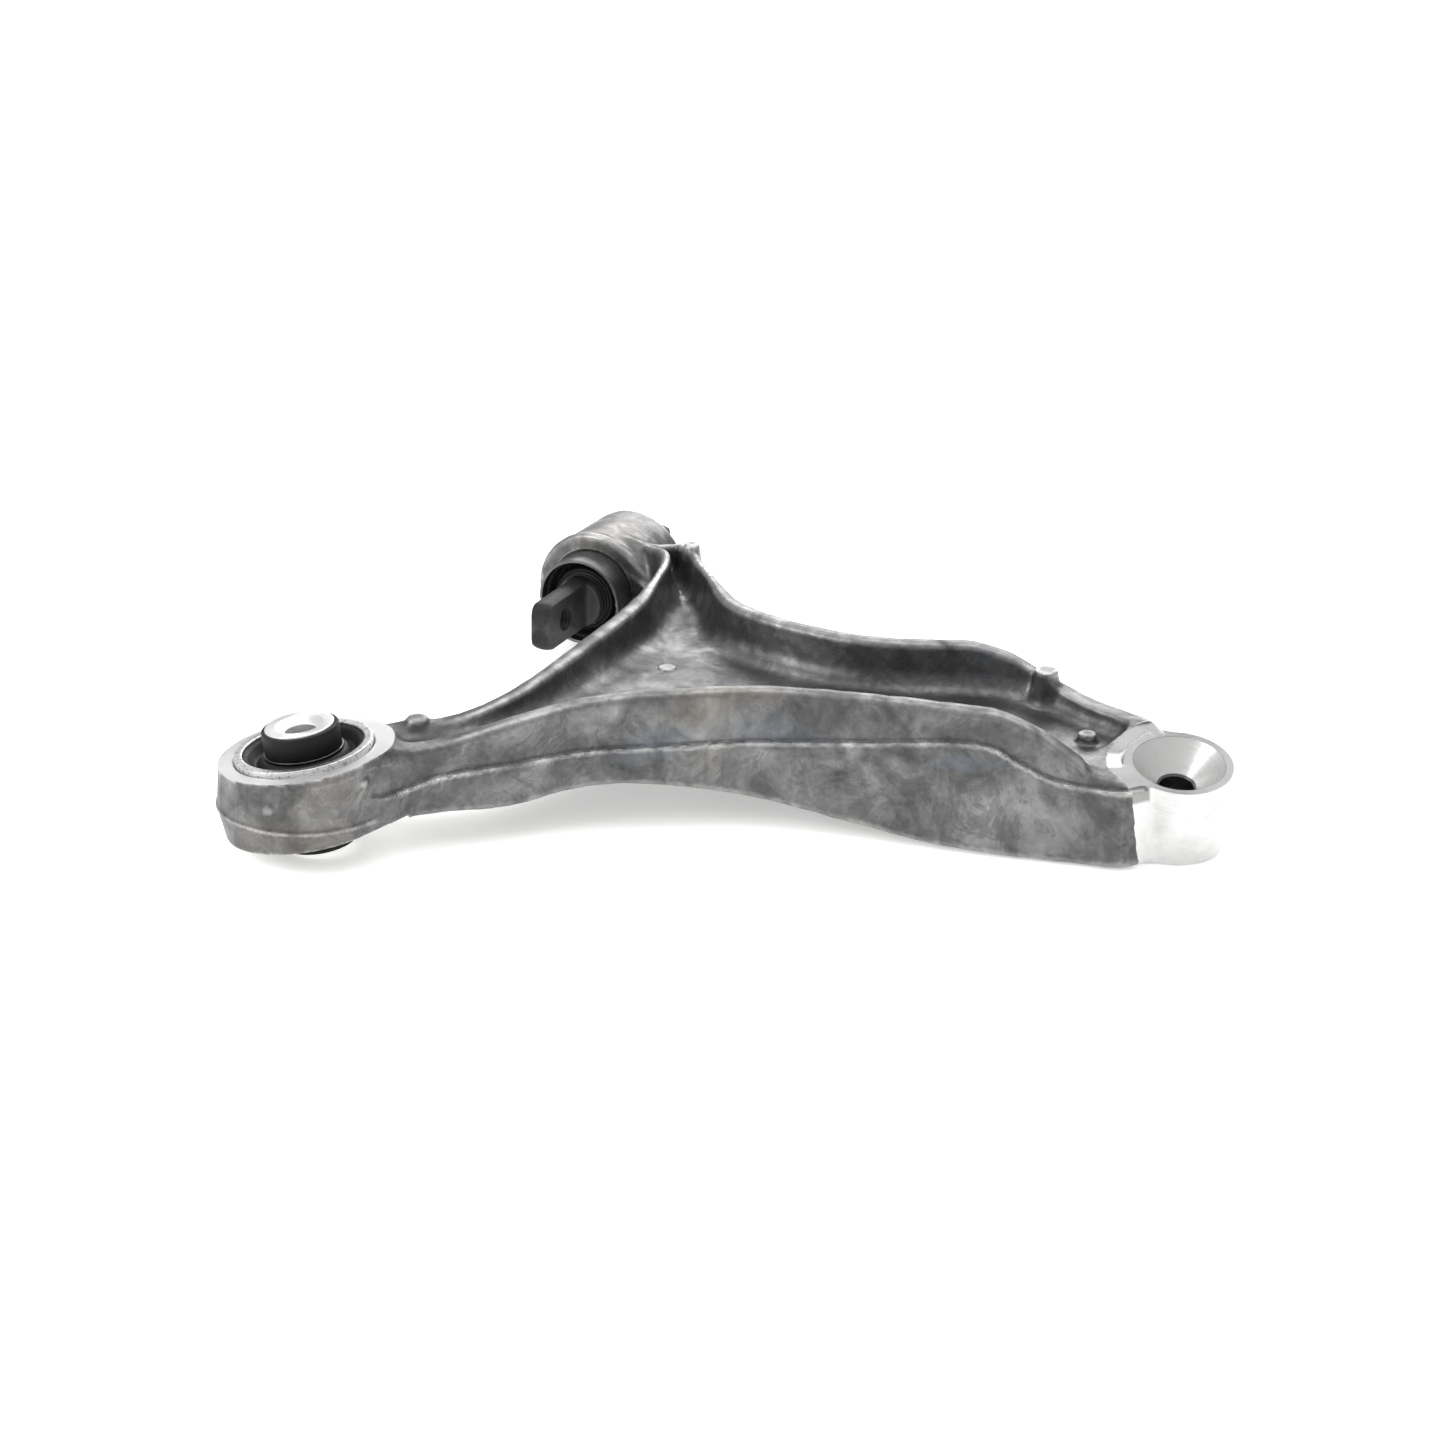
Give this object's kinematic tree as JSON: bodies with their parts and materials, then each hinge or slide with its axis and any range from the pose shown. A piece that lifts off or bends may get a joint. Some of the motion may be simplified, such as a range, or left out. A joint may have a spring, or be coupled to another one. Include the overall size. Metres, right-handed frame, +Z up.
{
  "type": "control arm",
  "caption": "Cast aluminium lower control arm with an upright rear bush, a flat-lying front bush on a steel bar pin and a funnel-mouthed ball joint eye.",
  "frame": {"origin": "centre of the rear bush, on its bolt hole's axis", "axes": "+X along the arm from the rear bush to the ball joint eye, +Y towards the front bush's side, +Z up, square to the level surface the arm lies on"},
  "size_m": [0.4654, 0.3745, 0.0701],
  "materials": {
    "cast_aluminium": "as cast, machined at the eyes",
    "machined_aluminium": "machined",
    "bush_rubber": "matte",
    "plain_steel": "satin",
    "dark_steel": "phosphated"
  },
  "bodies": {
    "arm": {"arm_casting": "cast_aluminium", "rear_bush_sleeve": "machined_aluminium", "rear_bush_rubber": "bush_rubber", "front_bush_sleeve": "plain_steel", "front_bush_rubber": "bush_rubber"},
    "rear_core": {"rear_bush_core": "machined_aluminium", "rear_bush_collar": "plain_steel", "rear_bush_upper_buffer": "bush_rubber", "rear_bush_lower_buffer": "bush_rubber"},
    "bar_pin": {"front_bush_inner_tube": "plain_steel", "front_bar_pin": "dark_steel"}
  },
  "joints": [
    {"name": "rear_core_tilt", "type": "hinge", "parent": "arm", "child": "rear_core", "pos_m": [0, 0, 0], "axis": [0.4226, 0.9062, 0.0175], "range_deg": [-12, 12], "stiffness_Nm_per_rad": 150, "deforming": ["rear_bush_rubber"]},
    {"name": "bar_pin_twist", "type": "hinge", "parent": "arm", "child": "bar_pin", "pos_m": [0.13057, 0.28001, 0.00539], "axis": [0.4226, 0.9062, 0.0175], "range_deg": [-25, 25], "stiffness_Nm_per_rad": 90}
  ]
}
